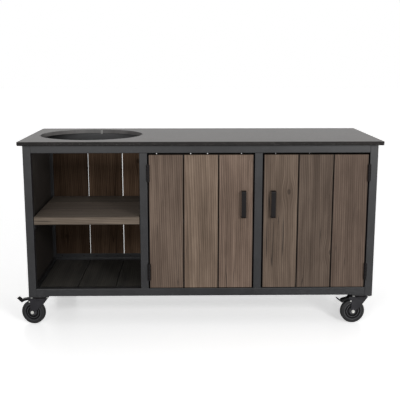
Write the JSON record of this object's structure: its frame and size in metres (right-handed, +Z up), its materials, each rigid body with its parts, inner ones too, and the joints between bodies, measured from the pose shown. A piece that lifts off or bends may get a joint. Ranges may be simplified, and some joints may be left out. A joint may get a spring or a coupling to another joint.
{
  "type": "kamado grill table",
  "caption": "Rolling outdoor kitchen table for a round ceramic grill: stone top with a round cut-out, an open bay with a shelf and a cupboard with wooden doors.",
  "frame": {"origin": "on the floor under the centre of the worktop", "axes": "+X to the right along the worktop, +Y from the doors to the back, +Z up"},
  "size_m": [1.9122, 0.695, 0.957],
  "materials": {
    "stone_top": "honed dark grey stone",
    "liner_steel": "dark grey satin coating",
    "coated_steel": "fine-textured charcoal powder coat",
    "black_steel": "satin black coating",
    "door_wood": "weathered grey-brown oiled boards",
    "shelf_wood": "weathered grey-brown oiled boards",
    "rear_wood": "weathered brown oiled boards",
    "floor_wood": "dark stained boards",
    "wheel_rubber": "black rubber tread on a black nylon core"
  },
  "bodies": {
    "table": {"worktop_slab": "stone_top", "cutout_liner": "liner_steel", "front_frame": "coated_steel", "rear_frame": "coated_steel", "left_end_frame": "coated_steel", "right_end_frame": "coated_steel", "side_panel_left": "coated_steel", "side_panel_right": "coated_steel", "divider_panel": "coated_steel", "rear_board_1": "rear_wood", "rear_board_2": "rear_wood", "rear_board_3": "rear_wood", "rear_board_4": "rear_wood", "rear_board_5": "rear_wood", "rear_board_6": "rear_wood", "rear_board_7": "rear_wood", "rear_board_8": "rear_wood", "rear_board_9": "rear_wood", "floor_board_1": "floor_wood", "floor_board_2": "floor_wood", "floor_board_3": "floor_wood", "floor_deck_cupboard": "floor_wood", "shelf_board_1": "shelf_wood", "shelf_board_2": "shelf_wood", "shelf_board_3": "shelf_wood", "hinge_left_lower_frame_leaf": "black_steel", "hinge_left_upper_frame_leaf": "black_steel", "hinge_right_lower_frame_leaf": "black_steel", "hinge_right_upper_frame_leaf": "black_steel", "door_catch": "black_steel", "caster_plate_front_left": "black_steel", "caster_plate_front_right": "black_steel", "caster_plate_rear_left": "black_steel", "caster_plate_rear_right": "black_steel"},
    "door_left": {"door_left_board_1": "door_wood", "door_left_board_2": "door_wood", "door_left_board_3": "door_wood", "door_left_frame": "coated_steel", "door_left_handle": "black_steel", "hinge_left_lower_door_leaf": "black_steel", "hinge_left_upper_door_leaf": "black_steel"},
    "door_right": {"door_right_board_1": "door_wood", "door_right_board_2": "door_wood", "door_right_board_3": "door_wood", "door_right_frame": "coated_steel", "door_right_handle": "black_steel", "hinge_right_lower_door_leaf": "black_steel", "hinge_right_upper_door_leaf": "black_steel"},
    "fork_front_left": {"caster_fork_front_left": "black_steel"},
    "wheel_front_left": {"caster_wheel_front_left": "wheel_rubber"},
    "brake_front_left": {"brake_pedal_front_left": "black_steel"},
    "fork_front_right": {"caster_fork_front_right": "black_steel"},
    "wheel_front_right": {"caster_wheel_front_right": "wheel_rubber"},
    "brake_front_right": {"brake_pedal_front_right": "black_steel"},
    "fork_rear_left": {"caster_fork_rear_left": "black_steel"},
    "wheel_rear_left": {"caster_wheel_rear_left": "wheel_rubber"},
    "brake_rear_left": {"brake_pedal_rear_left": "black_steel"},
    "fork_rear_right": {"caster_fork_rear_right": "black_steel"},
    "wheel_rear_right": {"caster_wheel_rear_right": "wheel_rubber"},
    "brake_rear_right": {"brake_pedal_rear_right": "black_steel"}
  },
  "joints": [
    {"name": "door_left_hinge", "type": "hinge", "parent": "table", "child": "door_left", "pos_m": [-0.26342, -0.3245, 0.547], "axis": [0, 0, -1], "range_deg": [0, 170]},
    {"name": "door_right_hinge", "type": "hinge", "parent": "table", "child": "door_right", "pos_m": [0.83675, -0.3245, 0.547], "axis": [0, 0, 1], "range_deg": [0, 170]},
    {"name": "swivel_front_left", "type": "hinge", "parent": "table", "child": "fork_front_left", "pos_m": [-0.83, -0.266, 0.14], "axis": [0, 0, 1], "continuous": true},
    {"name": "swivel_front_right", "type": "hinge", "parent": "table", "child": "fork_front_right", "pos_m": [0.83, -0.266, 0.14], "axis": [0, 0, 1], "continuous": true},
    {"name": "swivel_rear_left", "type": "hinge", "parent": "table", "child": "fork_rear_left", "pos_m": [-0.83, 0.274, 0.14], "axis": [0, 0, 1], "continuous": true},
    {"name": "swivel_rear_right", "type": "hinge", "parent": "table", "child": "fork_rear_right", "pos_m": [0.83, 0.274, 0.14], "axis": [0, 0, 1], "continuous": true},
    {"name": "roll_front_left", "type": "hinge", "parent": "fork_front_left", "child": "wheel_front_left", "pos_m": [-0.86898, -0.257, 0.0625], "axis": [0.225, 0.9744, 0], "continuous": true},
    {"name": "roll_front_right", "type": "hinge", "parent": "fork_front_right", "child": "wheel_front_right", "pos_m": [0.79015, -0.26949, 0.0625], "axis": [-0.0872, 0.9962, 0], "continuous": true},
    {"name": "roll_rear_left", "type": "hinge", "parent": "fork_rear_left", "child": "wheel_rear_left", "pos_m": [-0.79015, 0.27749, 0.0625], "axis": [0.0872, -0.9962, 0], "continuous": true},
    {"name": "roll_rear_right", "type": "hinge", "parent": "fork_rear_right", "child": "wheel_rear_right", "pos_m": [0.86898, 0.265, 0.0625], "axis": [-0.225, -0.9744, 0], "continuous": true},
    {"name": "brake_pedal_press_front_left", "type": "hinge", "parent": "fork_front_left", "child": "brake_front_left", "pos_m": [-0.88482, -0.25334, 0.13295], "axis": [-0.225, -0.9744, 0], "range_deg": [0, 16]},
    {"name": "brake_pedal_press_front_right", "type": "hinge", "parent": "fork_front_right", "child": "brake_front_right", "pos_m": [0.77395, -0.2709, 0.13295], "axis": [0.0872, -0.9962, 0], "range_deg": [0, 16]},
    {"name": "brake_pedal_press_rear_left", "type": "hinge", "parent": "fork_rear_left", "child": "brake_rear_left", "pos_m": [-0.77395, 0.2789, 0.13295], "axis": [-0.0872, 0.9962, 0], "range_deg": [0, 16]},
    {"name": "brake_pedal_press_rear_right", "type": "hinge", "parent": "fork_rear_right", "child": "brake_rear_right", "pos_m": [0.88482, 0.26134, 0.13295], "axis": [0.225, 0.9744, 0], "range_deg": [0, 16]}
  ]
}
